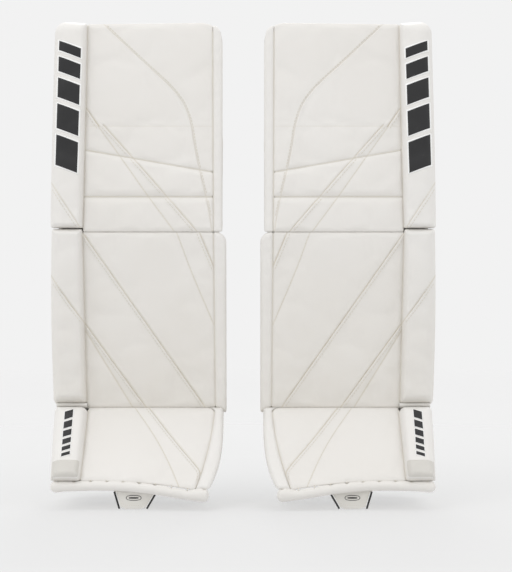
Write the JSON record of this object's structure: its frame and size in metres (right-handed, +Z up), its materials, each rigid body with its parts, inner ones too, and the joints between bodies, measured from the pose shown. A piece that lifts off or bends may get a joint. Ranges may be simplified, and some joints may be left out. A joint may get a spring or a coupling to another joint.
{
  "type": "ice hockey goalie leg pads",
  "caption": "Pair of upright padded leg guards with flexing knee and ankle breaks, stuffed outer rolls, leg wraps with straps, and a toe tab.",
  "frame": {"origin": "on the ground, at the middle of the pair's width and depth", "axes": "+Z up, -Y out of the strike face, +X towards the wearer's left pad"},
  "size_m": [0.604, 0.2764, 0.7623],
  "materials": {
    "skin": "smooth synthetic leather",
    "foam": "closed cell foam",
    "casing": "coated nylon",
    "lining": "brushed nylon",
    "slide_edge": "slick synthetic leather",
    "webbing": "woven nylon",
    "tab": "stiff synthetic leather with dark edges",
    "buckle": "moulded acetal"
  },
  "bodies": {
    "right_boot": {"right_boot_core": "foam", "right_boot_casing": "casing", "right_boot_panel": "skin", "right_outer_roll_boot": "skin", "right_inner_roll_boot": "skin", "right_toe_welt": "skin", "right_toe_tab": "tab", "right_boot_wall_outer": "casing", "right_boot_wall_inner": "slide_edge", "right_boot_strap": "webbing"},
    "right_boot_buckle": {"right_buckle_lever": "buckle"},
    "right_shin": {"right_shin_core": "foam", "right_shin_casing": "casing", "right_shin_panel": "skin", "right_outer_roll_shin": "skin", "right_inner_roll_shin": "skin", "right_slide_edge": "slide_edge"},
    "right_outer_calf_wrap": {"right_outer_calf_wing": "lining", "right_calf_strap": "webbing"},
    "right_inner_calf_wrap": {"right_inner_calf_wing": "lining"},
    "right_thigh": {"right_thigh_core": "foam", "right_thigh_casing": "casing", "right_thigh_panel": "skin", "right_knee_roll_upper": "skin", "right_knee_roll_lower": "skin", "right_outer_roll_thigh": "skin", "right_inner_roll_thigh": "skin", "right_knee_block": "lining"},
    "right_knee_wrap": {"right_knee_wing": "lining", "right_knee_strap": "webbing"},
    "left_boot": {"left_boot_core": "foam", "left_boot_casing": "casing", "left_boot_panel": "skin", "left_outer_roll_boot": "skin", "left_inner_roll_boot": "skin", "left_toe_welt": "skin", "left_toe_tab": "tab", "left_boot_wall_outer": "casing", "left_boot_wall_inner": "slide_edge", "left_boot_strap": "webbing"},
    "left_boot_buckle": {"left_buckle_lever": "buckle"},
    "left_shin": {"left_shin_core": "foam", "left_shin_casing": "casing", "left_shin_panel": "skin", "left_outer_roll_shin": "skin", "left_inner_roll_shin": "skin", "left_slide_edge": "slide_edge"},
    "left_outer_calf_wrap": {"left_outer_calf_wing": "lining", "left_calf_strap": "webbing"},
    "left_inner_calf_wrap": {"left_inner_calf_wing": "lining"},
    "left_thigh": {"left_thigh_core": "foam", "left_thigh_casing": "casing", "left_thigh_panel": "skin", "left_knee_roll_upper": "skin", "left_knee_roll_lower": "skin", "left_outer_roll_thigh": "skin", "left_inner_roll_thigh": "skin", "left_knee_block": "lining"},
    "left_knee_wrap": {"left_knee_wing": "lining", "left_knee_strap": "webbing"}
  },
  "joints": [
    {"name": "right_ankle_flex", "type": "hinge", "parent": "right_boot", "child": "right_shin", "pos_m": [-0.15, -0.02239, 0.152], "axis": [1, 0, 0], "range_deg": [-8, 8], "stiffness_Nm_per_rad": 60},
    {"name": "right_knee_flex", "type": "hinge", "parent": "right_shin", "child": "right_thigh", "pos_m": [-0.15, -0.05239, 0.43], "axis": [1, 0, 0], "range_deg": [-15, 10], "stiffness_Nm_per_rad": 25},
    {"name": "right_outer_calf_wrap_swing", "type": "hinge", "parent": "right_shin", "child": "right_outer_calf_wrap", "pos_m": [-0.248, 0.02904, 0.26819], "axis": [0, -0.1073, 0.9942], "range_deg": [0, 70], "stiffness_Nm_per_rad": 0.6},
    {"name": "right_inner_calf_wrap_swing", "type": "hinge", "parent": "right_shin", "child": "right_inner_calf_wrap", "pos_m": [-0.043, 0.07975, 0.27366], "axis": [0, 0.1073, -0.9942], "range_deg": [0, 45], "stiffness_Nm_per_rad": 0.6},
    {"name": "right_knee_wrap_swing", "type": "hinge", "parent": "right_thigh", "child": "right_knee_wrap", "pos_m": [-0.248, 0.01383, 0.49024], "axis": [0, 0.0425, 0.9991], "range_deg": [0, 70], "stiffness_Nm_per_rad": 0.4},
    {"name": "right_boot_buckle_lever", "type": "hinge", "parent": "right_boot", "child": "right_boot_buckle", "pos_m": [-0.238, 0.12261, 0.0765], "axis": [0, 0, 1], "range_deg": [0, 100]},
    {"name": "pad_spacing", "type": "slide", "parent": "right_boot", "child": "left_boot", "axis": [1, 0, 0], "range_m": [0, 0.2]},
    {"name": "left_ankle_flex", "type": "hinge", "parent": "left_boot", "child": "left_shin", "pos_m": [0.15, -0.02239, 0.152], "axis": [1, 0, 0], "range_deg": [-8, 8], "stiffness_Nm_per_rad": 60},
    {"name": "left_knee_flex", "type": "hinge", "parent": "left_shin", "child": "left_thigh", "pos_m": [0.15, -0.05239, 0.43], "axis": [1, 0, 0], "range_deg": [-15, 10], "stiffness_Nm_per_rad": 25},
    {"name": "left_outer_calf_wrap_swing", "type": "hinge", "parent": "left_shin", "child": "left_outer_calf_wrap", "pos_m": [0.248, 0.02904, 0.26819], "axis": [0, 0.1073, -0.9942], "range_deg": [0, 70], "stiffness_Nm_per_rad": 0.6},
    {"name": "left_inner_calf_wrap_swing", "type": "hinge", "parent": "left_shin", "child": "left_inner_calf_wrap", "pos_m": [0.043, 0.07975, 0.27366], "axis": [0, -0.1073, 0.9942], "range_deg": [0, 45], "stiffness_Nm_per_rad": 0.6},
    {"name": "left_knee_wrap_swing", "type": "hinge", "parent": "left_thigh", "child": "left_knee_wrap", "pos_m": [0.248, 0.01383, 0.49024], "axis": [0, -0.0425, -0.9991], "range_deg": [0, 70], "stiffness_Nm_per_rad": 0.4},
    {"name": "left_boot_buckle_lever", "type": "hinge", "parent": "left_boot", "child": "left_boot_buckle", "pos_m": [0.238, 0.12261, 0.0765], "axis": [0, 0, -1], "range_deg": [0, 100]}
  ],
  "couplings": [
    {"joint": "right_inner_calf_wrap_swing", "follows": "right_outer_calf_wrap_swing", "ratio": 0.6},
    {"joint": "left_inner_calf_wrap_swing", "follows": "left_outer_calf_wrap_swing", "ratio": 0.6}
  ]
}
